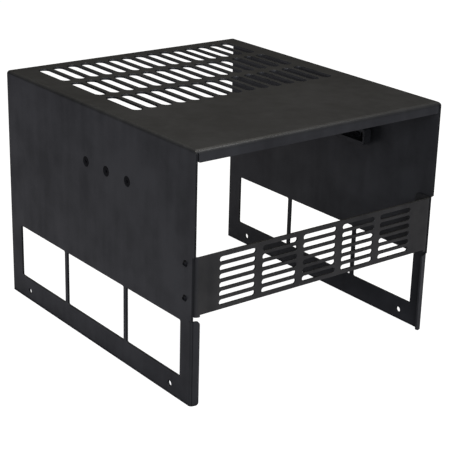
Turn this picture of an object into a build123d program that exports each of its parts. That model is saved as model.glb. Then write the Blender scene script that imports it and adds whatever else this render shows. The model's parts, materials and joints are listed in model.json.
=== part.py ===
from build123d import *
import math
import os

# Slotted sheet-steel cover: one folded shell, a slotted front rail screwed between its
# sides, and a pressed tray screwed inside each side.  The back, the bottom and the front
# above and below the rail are open.
# Millimetres.  +Z is up, the front faces -Y, and the origin is on the floor at the
# centre of the outline.

# Overall size and sheet
WIDTH = 350.0
DEPTH = 389.0
HEIGHT = 288.5
SHEET = 2.5
BEND_INSIDE = 1.5
BEND_OUTSIDE = BEND_INSIDE + SHEET
WIDE_BEND_INSIDE = 3.0
WIDE_BEND_OUTSIDE = WIDE_BEND_INSIDE + SHEET
RELIEF = 0.5
ROOT = 3.0

SIDE_X = WIDTH / 2
INNER_X = SIDE_X - SHEET
FRONT_Y = -DEPTH / 2
BACK_Y = DEPTH / 2

# Front edge of the shell: a short lip under the top, and a flange up each front corner
LIP_HEIGHT = 13.3
STEP_Z = 172.2
STEP_SETBACK = 3.4
STEP_RADIUS = 2.5
LOWER_FRONT_Y = FRONT_Y + STEP_SETBACK
FLANGE_WIDTH = 10.0
FLANGE_FOLD = 76.0
FLANGE_HEIGHT = 99.2
FLANGE_RADIUS = 4.0
LIP_RADIUS = 1.5
LIP_GAP = 1.5

# Windows in each side: length of each one from front to back, with a bar between
WINDOW_FIRST_Y = -171.4
WINDOW_LENGTHS = (104.0, 121.7, 105.2)
WINDOW_BAR = 5.6
WINDOW_BOTTOM = 28.2
WINDOW_TOP = 95.3
WINDOW_RADIUS = 2.0

# Bolt holes in the bottom rail of each side
FOOT_HOLE_Y = (-152.7, 152.7)
FOOT_HOLE_Z = 12.25
FOOT_HOLE_D = 7.0

# Slots in the top: three rows, long way front to back
TOP_SLOT_LENGTH = 64.5
TOP_SLOT_WIDTH = 14.3
TOP_SLOT_PITCH = 19.85
TOP_SLOTS_PER_ROW = 15
TOP_ROW_PITCH = 75.95
TOP_ROWS = 3
TOP_ROWS_CENTRE_Y = 70.3
TOP_ROWS_CENTRE_X = 2.7

# Front rail and its slots: five groups of six
RAIL_BOTTOM = 106.6
RAIL_HEIGHT = 65.2
RAIL_RECESS = 1.0
RAIL_RETURN = 23.0
RAIL_RADIUS = 2.5
RAIL_END_WIDTH = 7.0
RAIL_END_DROP = 2.4
RAIL_FACE_Y = FRONT_Y + RAIL_RECESS
RAIL_SLOTS_CENTRE_X = -1.0
RAIL_SLOTS_CENTRE_Z = 139.0
RAIL_SLOT_LENGTH = 48.8
RAIL_SLOT_WIDTH = 6.3
RAIL_GROUPS = 5
RAIL_GROUP_PITCH = 57.65
RAIL_SLOTS_PER_GROUP = 6
RAIL_SLOT_PITCH = 9.81

# Screws through the sides into the rail's returns: M4 button heads
RAIL_SCREW_Y = -179.0
RAIL_SCREW_Z = {"upper": 162.3, "lower": 123.2}
M4 = 4.0
M4_HOLE = 4.5
M4_HEAD = 7.6
M4_HEAD_HEIGHT = 2.2
M4_HEAD_FLAT = 3.8
M4_DOME_RADIUS = 3.2
M4_LENGTH = 10.0
M4_KEY = 2.5
M4_NUT = 7.0
M4_NUT_HEIGHT = 3.2

# Inner tray on each side, with its long rims turned in, held by three M6 countersunk screws
TRAY_LENGTH = 122.0
TRAY_HEIGHT = 22.0
TRAY_DEPTH = 15.0
TRAY_SHEET = 2.5
TRAY_BEND_OUTSIDE = 5.5
TRAY_BEND_INSIDE = TRAY_BEND_OUTSIDE - TRAY_SHEET
TRAY_RETURN = 2.5
TRAY_RETURN_RADIUS = 1.0
TRAY_HOLE = 8.0
TRAY_Y = -27.5
TRAY_Z = 221.2
TRAY_SCREW_PITCH = 42.0
M6 = 6.0
M6_HOLE = 6.6
M6_HEAD = 12.0
M6_HEAD_RIM = 0.3
M6_RIM_CLEARANCE = 0.15
M6_LENGTH = 12.0
M6_KEY = 4.0
M6_NUT = 10.0
M6_NUT_HEIGHT = 5.0

KEY_DEPTH = 1.6
NUT_BEVEL = 0.6
FILLET_MARGIN = 0.01
SIDES = {"left": -1, "right": 1}


def folded(plane, outer, inner, bend=BEND_INSIDE):
    """Section of folded sheet between its outer and inner corner points."""
    edges = [
        FilletPolyline(*outer, radius=bend + SHEET),
        FilletPolyline(*inner, radius=bend),
        Line(outer[0], inner[0]),
        Line(outer[-1], inner[-1]),
    ]
    return plane * make_face(Curve() + edges)


def centred(count, pitch):
    """Positions of a centred row."""
    return [(i - (count - 1) / 2) * pitch for i in range(count)]


def on_side(side, x, y, z):
    """Frame at a point of one side, with its local Z pointing outwards."""
    return Location((side * x, y, z), (0, 90 * side, 0))


def through_side(sketch, y, z):
    """Prism along X that cuts both sides, from a sketch drawn with its X along Y."""
    plane = Plane(origin=(-WIDTH, y, z), x_dir=(0, 1, 0), z_dir=(1, 0, 0))
    return extrude(plane * sketch, amount=2 * WIDTH)


# The shell

def shell_body():
    """Top and both sides, folded from one sheet along the two long edges."""
    outer = [(-SIDE_X, 0), (-SIDE_X, HEIGHT), (SIDE_X, HEIGHT), (SIDE_X, 0)]
    inner = [(-INNER_X, 0), (-INNER_X, HEIGHT - SHEET), (INNER_X, HEIGHT - SHEET), (INNER_X, 0)]
    plane = Plane(origin=(0, BACK_Y, 0), x_dir=(1, 0, 0), z_dir=(0, -1, 0))
    return extrude(folded(plane, outer, inner), amount=DEPTH)


def lip_room():
    """Front strip of the top, which the lip's bend takes the place of."""
    half = INNER_X - LIP_GAP
    return Pos(0, FRONT_Y, HEIGHT) * Box(2 * half, 2 * WIDE_BEND_OUTSIDE, 2 * WIDE_BEND_OUTSIDE)


def front_rounding():
    """Cut that rounds the top front corners of both sides to the lip's bend."""
    bend = WIDE_BEND_OUTSIDE
    block = Box(2 * WIDTH, bend, bend, align=(Align.CENTER, Align.MAX, Align.MIN))
    rod = Cylinder(bend, 2 * WIDTH, rotation=(0, 90, 0))
    return Pos(0, FRONT_Y + bend, HEIGHT - bend) * (block - rod)


def lip():
    """Lip bent down along the front edge of the top, just clear of the sides."""
    half = INNER_X - LIP_GAP
    back = FRONT_Y + WIDE_BEND_OUTSIDE + ROOT
    low = HEIGHT - LIP_HEIGHT
    outer = [(back, HEIGHT), (FRONT_Y, HEIGHT), (FRONT_Y, low)]
    inner = [(back, HEIGHT - SHEET), (FRONT_Y + SHEET, HEIGHT - SHEET), (FRONT_Y + SHEET, low)]
    plane = Plane(origin=(-half, 0, 0), x_dir=(0, 1, 0), z_dir=(1, 0, 0))
    strip = extrude(folded(plane, outer, inner, WIDE_BEND_INSIDE), amount=2 * half)
    corners = strip.edges().filter_by(Axis.Y).group_by(Axis.Z)[0]
    return fillet(corners, LIP_RADIUS)


def front_step():
    """Cut that sets the front edge of both sides back below the step."""
    below = Pos(0, FRONT_Y, 0) * Box(2 * WIDTH, 2 * STEP_SETBACK, 2 * STEP_Z)
    corner = Pos(0, FRONT_Y + STEP_RADIUS, STEP_Z + STEP_RADIUS)
    block = Box(2 * WIDTH, STEP_RADIUS, STEP_RADIUS, align=(Align.CENTER, Align.MAX, Align.MAX))
    round_rod = Cylinder(STEP_RADIUS, 2 * WIDTH, rotation=(0, 90, 0))
    return below + corner * (block - round_rod)


def flange_room():
    """Front strip of both sides, which the corner flanges' bends take the place of."""
    reach = LOWER_FRONT_Y + BEND_OUTSIDE - FRONT_Y
    tall = FLANGE_HEIGHT + RELIEF
    box = Box(2 * WIDTH, reach, tall, align=(Align.CENTER, Align.MIN, Align.MIN))
    return Pos(0, FRONT_Y, 0) * box


def corner_flange(side):
    """Flange folded inwards along the lower front edge of one side, a little short of square."""
    front = LOWER_FRONT_Y
    back = front + BEND_OUTSIDE + ROOT
    fold = math.radians(FLANGE_FOLD)
    across, along = side * math.sin(fold), math.cos(fold)
    tip = (side * SIDE_X - FLANGE_WIDTH * across, front - FLANGE_WIDTH * along)
    inner_tip = (tip[0] - side * SHEET * along, tip[1] + SHEET * math.sin(fold))
    outer = [(side * SIDE_X, back), (side * SIDE_X, front), tip]
    inner = [(side * INNER_X, back), (side * INNER_X, front + SHEET * math.tan(fold / 2)), inner_tip]
    strip = extrude(folded(Plane.XY, outer, inner), amount=FLANGE_HEIGHT)
    across_sheet = strip.edges().filter_by(lambda e: abs(e.length - SHEET) < FILLET_MARGIN)
    corners = across_sheet.sort_by_distance((*tip, FLANGE_HEIGHT / 2))[:2]
    return fillet(corners, FLANGE_RADIUS)


def side_windows():
    """The three windows, cut through both sides."""
    tall = WINDOW_TOP - WINDOW_BOTTOM
    middle_z = WINDOW_BOTTOM + tall / 2
    cuts = []
    y = WINDOW_FIRST_Y
    for length in WINDOW_LENGTHS:
        outline = RectangleRounded(length, tall, WINDOW_RADIUS)
        cuts.append(through_side(outline, y + length / 2, middle_z))
        y += length + WINDOW_BAR
    return cuts


def side_holes():
    """Bolt holes in the bottom rails and screw holes for the front rail."""
    cuts = [through_side(Circle(FOOT_HOLE_D / 2), y, FOOT_HOLE_Z) for y in FOOT_HOLE_Y]
    for z in RAIL_SCREW_Z.values():
        cuts.append(through_side(Circle(M4_HOLE / 2), RAIL_SCREW_Y, z))
    return cuts


def tray_screw_ys():
    """Front-to-back positions of the tray's screws."""
    return [TRAY_Y + y for y in centred(3, TRAY_SCREW_PITCH)]


def countersink():
    """Countersunk hole that an M6 head fills, flush with the face at its local Z = 0."""
    rim = M6_HEAD / 2 + M6_RIM_CLEARANCE
    rim_depth = M6_HEAD_RIM - M6_RIM_CLEARANCE
    neck = rim_depth + rim - M6_HOLE / 2
    profile = Polyline(
        (0, SHEET), (rim, SHEET), (rim, -rim_depth), (M6_HOLE / 2, -neck),
        (M6_HOLE / 2, -2 * SHEET), (0, -2 * SHEET), close=True)
    return revolve(Plane.XZ * make_face(profile), Axis.Z)


def countersinks():
    """Countersunk holes for the trays' screws, in both sides."""
    return [
        on_side(side, SIDE_X, y, TRAY_Z) * countersink()
        for side in SIDES.values()
        for y in tray_screw_ys()
    ]


def top_slots():
    """Three rows of long slots through the top, behind a plain front part."""
    outline = SlotOverall(TOP_SLOT_LENGTH, TOP_SLOT_WIDTH, rotation=90)
    places = [
        (TOP_ROWS_CENTRE_X + x, TOP_ROWS_CENTRE_Y + y)
        for y in centred(TOP_ROWS, TOP_ROW_PITCH)
        for x in centred(TOP_SLOTS_PER_ROW, TOP_SLOT_PITCH)
    ]
    sketch = Sketch() + [Pos(x, y) * outline for x, y in places]
    return extrude(Pos(0, 0, HEIGHT - 2 * SHEET) * sketch, amount=3 * SHEET)


def outer_shell():
    """The whole folded shell."""
    shell = shell_body() - front_rounding() - lip_room() - front_step() - flange_room()
    shell += [lip()] + [corner_flange(side) for side in SIDES.values()]
    shell -= side_windows() + side_holes() + countersinks()
    return shell - top_slots()


# The front rail

def rail_slots():
    """Five groups of horizontal slots through the rail's face."""
    outline = SlotOverall(RAIL_SLOT_LENGTH, RAIL_SLOT_WIDTH)
    places = [
        (RAIL_SLOTS_CENTRE_X + x, RAIL_SLOTS_CENTRE_Z + z)
        for x in centred(RAIL_GROUPS, RAIL_GROUP_PITCH)
        for z in centred(RAIL_SLOTS_PER_GROUP, RAIL_SLOT_PITCH)
    ]
    sketch = Sketch() + [Pos(x, z) * outline for x, z in places]
    plane = Plane(origin=(0, RAIL_FACE_Y + 2 * SHEET, 0), x_dir=(1, 0, 0), z_dir=(0, -1, 0))
    return extrude(plane * sketch, amount=3 * SHEET)


def rail_body():
    """Folded rail whose face has a return at each end, lying inside the shell's sides."""
    back = RAIL_FACE_Y + RAIL_RETURN
    inside = INNER_X - SHEET
    face = RAIL_FACE_Y
    outer = [(-INNER_X, back), (-INNER_X, face), (INNER_X, face), (INNER_X, back)]
    inner = [(-inside, back), (-inside, face + SHEET), (inside, face + SHEET), (inside, back)]
    low = RAIL_BOTTOM - RAIL_END_DROP
    section = folded(Plane.XY.offset(low), outer, inner, WIDE_BEND_INSIDE)
    return extrude(section, amount=RAIL_HEIGHT + RAIL_END_DROP)


def rail_face_step():
    """Cut under the rail's face, which leaves both its ends reaching a little lower."""
    wide = 2 * (INNER_X - RAIL_END_WIDTH)
    align = (Align.CENTER, Align.CENTER, Align.MAX)
    return Pos(0, RAIL_FACE_Y, RAIL_BOTTOM) * Box(wide, 4 * SHEET, 2 * RAIL_END_DROP, align=align)


def front_grille():
    """The whole slotted rail."""
    rail = rail_body() - rail_face_step()
    rail = fillet(rail.edges().filter_by(Axis.X).group_by(Axis.Y)[-1], RAIL_RADIUS)
    holes = [through_side(Circle(M4_HOLE / 2), RAIL_SCREW_Y, z) for z in RAIL_SCREW_Z.values()]
    return rail - holes - rail_slots()


# The inner trays

def dish(length, height, depth, bend):
    """Block with a flat back at its local Z = 0 and rounded back edges."""
    block = extrude(RectangleRounded(height, length, bend + FILLET_MARGIN), amount=-depth)
    return fillet(block.faces().sort_by(Axis.Z)[-1].edges(), bend)


def tray(side):
    """Pressed tray: its back lies on the side, and it opens inwards between turned-in rims."""
    wall = 2 * TRAY_SHEET
    rims = wall + 2 * TRAY_RETURN
    hollow = dish(TRAY_LENGTH - wall, TRAY_HEIGHT - wall, TRAY_DEPTH - wall, TRAY_BEND_INSIDE)
    mouth = RectangleRounded(TRAY_HEIGHT - rims, TRAY_LENGTH - wall, TRAY_RETURN_RADIUS)
    shape = dish(TRAY_LENGTH, TRAY_HEIGHT, TRAY_DEPTH, TRAY_BEND_OUTSIDE)
    shape -= Pos(0, 0, -TRAY_SHEET) * hollow
    shape -= Pos(0, 0, -TRAY_DEPTH) * extrude(mouth, amount=TRAY_DEPTH / 2)
    for y in centred(3, TRAY_SCREW_PITCH):
        shape -= Pos(0, y, 0) * Cylinder(TRAY_HOLE / 2, 4 * TRAY_SHEET)
    return on_side(side, INNER_X, TRAY_Y, TRAY_Z) * shape


# Fasteners, drawn with the axis along Z, the seat at Z = 0 and the shank towards -Z

def key_socket(key, top):
    """Hexagon socket sunk from the top of a head."""
    return extrude(Pos(0, 0, top - KEY_DEPTH) * RegularPolygon(key / 2, 6, major_radius=False),
                   amount=2 * KEY_DEPTH)


def countersunk_screw():
    """M6 screw with a flat countersunk head, its top at Z = 0."""
    rim = M6_HEAD / 2
    neck = rim - M6 / 2 + M6_HEAD_RIM
    profile = Polyline(
        (0, 0), (rim, 0), (rim, -M6_HEAD_RIM), (M6 / 2, -neck), (M6 / 2, -M6_LENGTH + NUT_BEVEL),
        (M6 / 2 - NUT_BEVEL, -M6_LENGTH), (0, -M6_LENGTH), close=True)
    return revolve(Plane.XZ * make_face(profile), Axis.Z) - key_socket(M6_KEY, 0)


def button_screw():
    """M4 screw with a domed button head that sits on Z = 0."""
    rim = M4_HEAD / 2
    flat = (M4_HEAD_FLAT / 2, M4_HEAD_HEIGHT)
    dome = RadiusArc((rim, 0), flat, M4_DOME_RADIUS)
    rest = Polyline(
        flat, (0, M4_HEAD_HEIGHT), (0, -M4_LENGTH),
        (M4 / 2 - NUT_BEVEL, -M4_LENGTH), (M4 / 2, -M4_LENGTH + NUT_BEVEL), (M4 / 2, 0), (rim, 0))
    profile = make_face(Curve() + [dome, rest])
    return revolve(Plane.XZ * profile, Axis.Z) - key_socket(M4_KEY, M4_HEAD_HEIGHT)


def hex_nut(across_flats, height, thread):
    """Hexagon nut that fills Z = -height to 0, with its corners bevelled."""
    corner = across_flats / math.sqrt(3)
    hexagon = extrude(RegularPolygon(across_flats / 2, 6, major_radius=False), amount=-height)
    bevel = Polyline(
        (0, 0), (corner - NUT_BEVEL, 0), (corner, -NUT_BEVEL / 2), (corner, NUT_BEVEL / 2 - height),
        (corner - NUT_BEVEL, -height), (0, -height), close=True)
    barrel = revolve(Plane.XZ * make_face(bevel), Axis.Z)
    return (hexagon & barrel) - Cylinder(thread / 2, 3 * height)


def fasteners(name, side):
    """All screws and nuts of one side, by node name."""
    nodes = {}
    for number, y in enumerate(tray_screw_ys(), start=1):
        seat = INNER_X - TRAY_SHEET
        nodes[f"{name}_tray_screw_{number}"] = on_side(side, SIDE_X, y, TRAY_Z) * countersunk_screw()
        nodes[f"{name}_tray_nut_{number}"] = on_side(side, seat, y, TRAY_Z) * hex_nut(
            M6_NUT, M6_NUT_HEIGHT, M6)
    for place, z in RAIL_SCREW_Z.items():
        seat = INNER_X - SHEET
        nodes[f"{name}_rail_screw_{place}"] = on_side(side, SIDE_X, RAIL_SCREW_Y, z) * button_screw()
        nodes[f"{name}_rail_nut_{place}"] = on_side(side, seat, RAIL_SCREW_Y, z) * hex_nut(
            M4_NUT, M4_NUT_HEIGHT, M4)
    return nodes


def assembly():
    """Every node of the cover."""
    nodes = {"outer_shell": outer_shell(), "front_grille": front_grille()}
    for name, side in SIDES.items():
        nodes[f"{name}_inner_tray"] = tray(side)
        nodes.update(fasteners(name, side))
    return nodes


os.makedirs("parts", exist_ok=True)
for node, shape in assembly().items():
    export_step(shape, f"parts/{node}.step")
    size = shape.bounding_box().size
    print(f"{node}: {size.X:.1f} x {size.Y:.1f} x {size.Z:.1f} mm")
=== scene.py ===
import json
import math

import bpy
from mathutils import Matrix, Vector

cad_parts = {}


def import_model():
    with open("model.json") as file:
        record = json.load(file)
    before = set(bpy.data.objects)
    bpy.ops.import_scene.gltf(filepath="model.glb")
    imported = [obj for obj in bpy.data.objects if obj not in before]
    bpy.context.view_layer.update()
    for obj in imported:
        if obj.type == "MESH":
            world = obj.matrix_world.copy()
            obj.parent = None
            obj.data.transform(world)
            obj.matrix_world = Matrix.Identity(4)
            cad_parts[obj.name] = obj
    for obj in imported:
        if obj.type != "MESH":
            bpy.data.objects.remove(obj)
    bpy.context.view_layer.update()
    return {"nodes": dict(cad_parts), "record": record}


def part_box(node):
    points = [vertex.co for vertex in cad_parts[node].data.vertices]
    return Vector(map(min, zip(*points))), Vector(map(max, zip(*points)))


# Looks for the slotted steel cover: satin black paint on folded sheet, black-oxide
# fasteners, a pale studio floor and soft light.  Metres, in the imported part's frame.

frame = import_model()

NODES = frame["nodes"]
SHELL_LOW, SHELL_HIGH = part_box("outer_shell")
WIDTH = SHELL_HIGH.x - SHELL_LOW.x
MIDDLE = (SHELL_LOW + SHELL_HIGH) / 2
INNER_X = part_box("front_grille")[1].x

# Paint: how far edges are rubbed round, and how far painted shade reaches out of gaps and corners
EDGE_RADIUS = 0.0007
WORN_TONE = (0.030, 0.030, 0.031, 1)
CREVICE_REACH = 0.007
CORNER_FADE = 0.005
# Near-black tone of the painted shade in gaps and corners
PAINTED_SHADE_TONE = (0.002, 0.002, 0.002, 1)
SPECULAR = 0.3
FACING_FRONT = -0.8

# Paint's patterns: how many to a metre, largest first, and the middle band that shows most
PATCH_SCALE = 11.0
SMUDGE_SCALE = 42.0
STREAK_SCALE = 80.0
GRAIN_SCALE = 1600.0
STREAK_STRETCH = (1, 1, 0.1)
MOTTLE_BAND = (0.4, 0.6)

# Paint's roughness: on its dark and pale mottle, and what grain, wear and painted shade add
MOTTLE_ROUGHNESS = (0.47, 0.36)
GRAIN_ROUGHNESS = 0.03
WEAR_ROUGHNESS = 0.06
PAINTED_SHADE_ROUGHNESS = 0.4

# Heights that bumps stand for, and how many of the paint's waves and pits there are to a metre
WAVE_SCALE = 9.0
PEEL_SCALE = 480.0
WAVE_HEIGHT = 0.0012
PEEL_HEIGHT = 0.00003
GRAIN_HEIGHT = 0.00001

# Floor: what the camera sees, what lights the part, and how much of that its own shade leaves
FLOOR_REACH = 40 * WIDTH
FLOOR_TONE = (0.15, 0.15, 0.15, 1)
FLOOR_ROUGHNESS = 0.9
FLOOR_GLOW = (0.97, 0.97, 0.97, 1)
FLOOR_FILL = (0.22, 0.22, 0.27, 1)
FLOOR_SHADE = 0.12
SHADE_EDGES = (0.7, 1.3)
BLACK = (0, 0, 0, 1)

# Camera: lengths in part widths, angles in degrees, lens and sensor in millimetres
EYE = Vector((-2.61847, -3.42321, 1.93663)) * WIDTH
VIEW_AZIMUTH, VIEW_ELEVATION, VIEW_ROLL = -38.372, 20.382, 1.657
SENSOR, LENS = 36.0, 104.869
SHIFT = (-0.02435, -0.00692)


# Node trees

class Tree:
    """Short calls for building one material's nodes."""

    def __init__(self, name):
        self.material = bpy.data.materials.new(name)
        self.material.use_nodes = True
        self.nodes = self.material.node_tree.nodes
        self.links = self.material.node_tree.links
        self.shader = self.nodes["Principled BSDF"]

    def add(self, kind, inputs=None, **settings):
        node = self.nodes.new(kind)
        for key, value in settings.items():
            setattr(node, key, value)
        for key, value in (inputs or {}).items():
            self.feed(node.inputs[key], value)
        return node

    def feed(self, socket, value):
        if isinstance(value, bpy.types.NodeSocket):
            self.links.new(value, socket)
        else:
            socket.default_value = value

    def noise(self, where, scale, detail=4.0, roughness=0.5, stretch=(1, 1, 1)):
        mapped = self.add("ShaderNodeMapping", {"Vector": where, "Scale": stretch})
        node = self.add("ShaderNodeTexNoise", {
            "Vector": mapped.outputs["Vector"], "Scale": scale, "Detail": detail,
            "Roughness": roughness})
        return node.outputs["Fac"]

    def remap(self, value, low, high, out_low=0.0, out_high=1.0):
        node = self.add("ShaderNodeMapRange", {
            "Value": value, "From Min": low, "From Max": high,
            "To Min": out_low, "To Max": out_high})
        return node.outputs["Result"]

    def math(self, operation, first, second=0.0):
        node = self.add("ShaderNodeMath", {0: first, 1: second}, operation=operation)
        return node.outputs["Value"]

    def blend(self, amount, first, second):
        node = self.add("ShaderNodeMix", data_type="RGBA")
        self.feed(node.inputs["Factor"], amount)
        self.feed(node.inputs[6], first)
        self.feed(node.inputs[7], second)
        return node.outputs[2]

    def bump(self, height, distance, strength=1.0, normal=None):
        inputs = {"Height": height, "Distance": distance, "Strength": strength}
        if normal is not None:
            inputs["Normal"] = normal
        return self.add("ShaderNodeBump", inputs).outputs["Normal"]


def shades(tone, low, high):
    """A darker and a lighter version of a colour."""
    return [tuple(c * factor for c in tone) + (1,) for factor in (low, high)]


def rubbed_edges(t, scuff):
    """1 where a sheet edge has been rubbed, 0 on flat faces, with the rounded normal there."""
    rounded = t.add("ShaderNodeBevel", {"Radius": EDGE_RADIUS}, samples=6).outputs["Normal"]
    flat = t.add("ShaderNodeNewGeometry").outputs["Normal"]
    facing = t.add("ShaderNodeVectorMath", {0: rounded, 1: flat}, operation="DOT_PRODUCT")
    edge = t.math("SUBTRACT", 1.0, facing.outputs["Value"])
    broken = t.math("MULTIPLY", edge, t.remap(scuff, 0.38, 0.62, 0.2, 1.0))
    return t.remap(broken, 0.02, 0.22), rounded


def crevice_shade(t):
    """Painted shade: 1 deep in narrow gaps and corners, where shade falls, 0 in the open."""
    probe = t.add("ShaderNodeAmbientOcclusion", {"Distance": CREVICE_REACH}, samples=8)
    return t.math("SUBTRACT", 1.0, t.remap(probe.outputs["AO"], 0.4, 0.85))


def side_corner_shade(t, place):
    """Painted shade where the rail and the trays meet the sides: 1 there, fading to 0 inwards."""
    across = t.math("ABSOLUTE", t.add("ShaderNodeSeparateXYZ", {0: place}).outputs["X"])
    return t.remap(across, INNER_X - CORNER_FADE, INNER_X)


def front_cut_shade(t, place):
    """Painted shade on the sides' front cut edges: 1 there, making them darker than their faces, 0
    elsewhere.
    """
    normal = t.add("ShaderNodeNewGeometry").outputs["Normal"]
    across = t.math("ABSOLUTE", t.add("ShaderNodeSeparateXYZ", {0: place}).outputs["X"])
    forward = t.add("ShaderNodeSeparateXYZ", {0: normal}).outputs["Y"]
    return t.math("MULTIPLY", t.math("GREATER_THAN", across, INNER_X),
                  t.math("LESS_THAN", forward, FACING_FRONT))


def satin_paint(name, tone, seed, shade_where):
    """Black satin paint over sheet steel, with smudges, faint streaks, rubbed edges and painted
    shade.

    The last argument says where else shade is painted, besides its narrow gaps."""
    t = Tree(name)
    place = t.add("ShaderNodeTexCoord").outputs["Object"]
    # Painted shade: narrow gaps, corners and the places given by the last argument are darkened
    # towards a near-black tone.
    shade_mask = t.math("MAXIMUM", crevice_shade(t), shade_where(t, place))
    place = t.add("ShaderNodeVectorMath", {0: place, 1: (seed, seed, seed)},
                  operation="ADD").outputs["Vector"]
    patch = t.noise(place, PATCH_SCALE, 3.0, 0.55)
    smudge = t.noise(place, SMUDGE_SCALE, 5.0, 0.62)
    streak = t.noise(place, STREAK_SCALE, 3.0, 0.5, STREAK_STRETCH)
    grain = t.noise(place, GRAIN_SCALE, 2.0)
    mottle = t.math("ADD", t.math("MULTIPLY", patch, 0.5), t.math("MULTIPLY", smudge, 0.3))
    mottle = t.math("ADD", mottle, t.math("MULTIPLY", streak, 0.2))
    wear, rounded = rubbed_edges(t, smudge)
    dark, pale = shades(tone, 0.72, 1.4)
    colour = t.blend(t.remap(mottle, *MOTTLE_BAND), dark, pale)
    # Painted shade darkens the mottled and worn colour towards a near-black tone.
    colour = t.blend(shade_mask, t.blend(wear, colour, WORN_TONE), PAINTED_SHADE_TONE)
    t.feed(t.shader.inputs["Base Color"], colour)
    rough = t.remap(mottle, *MOTTLE_BAND, *MOTTLE_ROUGHNESS)
    rough = t.math("ADD", rough, t.remap(grain, 0.3, 0.7, -GRAIN_ROUGHNESS, GRAIN_ROUGHNESS))
    rough = t.math("ADD", rough, t.math("MULTIPLY", wear, WEAR_ROUGHNESS))
    rough = t.math("ADD", rough, t.math("MULTIPLY", shade_mask, PAINTED_SHADE_ROUGHNESS))
    t.feed(t.shader.inputs["Roughness"], rough)
    wave = t.bump(t.noise(place, WAVE_SCALE, 2.0), WAVE_HEIGHT, 0.5, rounded)
    peel = t.bump(t.noise(place, PEEL_SCALE, 2.0), PEEL_HEIGHT, 0.9, wave)
    t.feed(t.shader.inputs["Normal"], t.bump(grain, GRAIN_HEIGHT, 0.7, peel))
    t.shader.inputs["Specular IOR Level"].default_value = SPECULAR
    return t.material


def black_oxide(name, tone, metallic, roughness, specular=SPECULAR):
    """Blackened steel of the screws and nuts, oily in patches and worn on the corners."""
    t = Tree(name)
    place = t.add("ShaderNodeTexCoord").outputs["Object"]
    speck = t.noise(place, 1500.0, 3.0)
    oil = t.noise(place, 260.0, 3.0)
    wear, rounded = rubbed_edges(t, oil)
    dark, pale = shades(tone, 0.6, 1.5)
    colour = t.blend(t.remap(speck, 0.35, 0.65), dark, pale)
    worn = shades(tone, 1.0, 2.6)[1]
    t.feed(t.shader.inputs["Base Color"], t.blend(wear, colour, worn))
    spread = t.remap(oil, 0.35, 0.65, roughness - 0.06, roughness + 0.06)
    t.feed(t.shader.inputs["Roughness"], spread)
    t.feed(t.shader.inputs["Normal"], t.bump(speck, GRAIN_HEIGHT, 0.8, rounded))
    t.shader.inputs["Metallic"].default_value = metallic
    t.shader.inputs["Specular IOR Level"].default_value = specular
    return t.material


MATERIALS = {
    # Painted shade on the shell's front cut edges, and where the rail and the trays meet the sides.
    "shell_paint": satin_paint("shell_paint", (0.014, 0.014, 0.014), seed=0.0, shade_where=front_cut_shade),
    "rail_paint": satin_paint("rail_paint", (0.017, 0.016, 0.014), seed=3.1, shade_where=side_corner_shade),
    # The trays' tone is set a little darker than the shell's, as painted shade for their shadowed
    # insides.
    "tray_paint": satin_paint("tray_paint", (0.012, 0.012, 0.012), seed=7.7, shade_where=side_corner_shade),
    "black_screw": black_oxide("black_screw", (0.0024, 0.0024, 0.0027),
                               metallic=0.0, roughness=0.62, specular=0.1),
    "black_nut": black_oxide("black_nut", (0.016, 0.016, 0.017), metallic=0.6, roughness=0.44),
}


def dress_nodes():
    """Gives each CAD node its slot's material."""
    for part in frame["record"]["subparts"]:
        node = NODES[part["node"]]
        node.data.materials.clear()
        node.data.materials.append(MATERIALS[part["material_slot"]])


# Studio

def floor():
    """Pale glowing floor far larger than the view.

    The camera sees it evenly pale. It lights the part with a dimmer glow, dimmest under it."""
    mesh = bpy.data.meshes.new("floor")
    turns = [(-1, -1), (1, -1), (1, 1), (-1, 1)]
    corners = [(x * FLOOR_REACH, y * FLOOR_REACH, 0.0) for x, y in turns]
    mesh.from_pydata(corners, [], [(0, 1, 2, 3)])
    piece = bpy.data.objects.new("floor", mesh)
    bpy.context.scene.collection.objects.link(piece)
    t = Tree("floor")
    t.shader.inputs["Base Color"].default_value = FLOOR_TONE
    t.shader.inputs["Roughness"].default_value = FLOOR_ROUGHNESS
    t.shader.inputs["Specular IOR Level"].default_value = 0.0
    place = t.add("ShaderNodeNewGeometry").outputs["Position"]
    per_half_size = [2 / size for size in SHELL_HIGH - SHELL_LOW]
    spread = t.add("ShaderNodeVectorMath", {0: place, 1: per_half_size}, operation="MULTIPLY")
    spread = t.add("ShaderNodeVectorMath", {0: spread.outputs["Vector"]}, operation="ABSOLUTE")
    away = t.add("ShaderNodeSeparateXYZ", {0: spread.outputs["Vector"]}).outputs
    lit = t.remap(t.math("MAXIMUM", away["X"], away["Y"]), *SHADE_EDGES, FLOOR_SHADE, 1.0)
    fill = t.blend(lit, BLACK, FLOOR_FILL)
    seen = t.add("ShaderNodeLightPath").outputs["Is Camera Ray"]
    t.feed(t.shader.inputs["Emission Color"], t.blend(seen, fill, FLOOR_GLOW))
    t.shader.inputs["Emission Strength"].default_value = 1.0
    mesh.materials.append(t.material)


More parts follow.
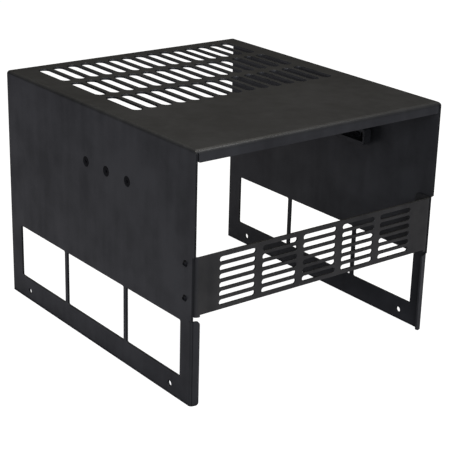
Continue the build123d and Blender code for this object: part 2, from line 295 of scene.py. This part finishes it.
def direction(azimuth, elevation):
    """Unit vector from the part, by degrees: azimuth 0 is in front, 90 is to the right."""
    around, up = math.radians(azimuth), math.radians(elevation)
    return Vector((math.sin(around) * math.cos(up), -math.cos(around) * math.cos(up), math.sin(up)))


def softbox(name, azimuth, elevation, distance, size, watts, colour=(1, 1, 1)):
    """Square area light aimed at the part's middle, with distance and size in part widths."""
    data = bpy.data.lights.new(name, "AREA")
    data.size = size * WIDTH
    data.energy = watts
    data.color = colour
    lamp = bpy.data.objects.new(name, data)
    bpy.context.scene.collection.objects.link(lamp)
    lamp.location = MIDDLE + direction(azimuth, elevation) * distance * WIDTH
    lamp.rotation_euler = (MIDDLE - lamp.location).to_track_quat("-Z", "Y").to_euler()


def world(tone):
    """Even, dim surroundings, so that the softboxes shape the part."""
    scene_world = bpy.data.worlds.new("studio")
    scene_world.use_nodes = True
    background = scene_world.node_tree.nodes["Background"]
    background.inputs["Color"].default_value = tuple(tone) + (1,)
    bpy.context.scene.world = scene_world


def camera():
    """Camera in front, to the left and above, looking down at the part, rolled slightly."""
    back = direction(VIEW_AZIMUTH, VIEW_ELEVATION)
    level = (-back).cross(Vector((0, 0, 1))).normalized()
    right = Matrix.Rotation(math.radians(VIEW_ROLL), 3, back) @ level
    up = back.cross(right)
    data = bpy.data.cameras.new("camera")
    data.sensor_width = SENSOR
    data.lens = LENS
    data.shift_x, data.shift_y = SHIFT
    view = bpy.data.objects.new("camera", data)
    bpy.context.scene.collection.objects.link(view)
    axes = Matrix((right, up, back)).transposed().to_4x4()
    view.matrix_world = Matrix.Translation(EYE) @ axes
    bpy.context.scene.camera = view


dress_nodes()
floor()
softbox("top_light", azimuth=0, elevation=88, distance=6.0, size=4.0, watts=66,
        colour=(1.0, 0.955, 0.85))
softbox("front_light", azimuth=-30, elevation=25, distance=6.0, size=3.0, watts=46,
        colour=(0.80, 0.85, 1.0))
softbox("edge_light", azimuth=35, elevation=56, distance=2.8, size=0.6, watts=1.25)
world((0.004, 0.004, 0.005))
camera()
bpy.context.scene.view_settings.view_transform = "Standard"
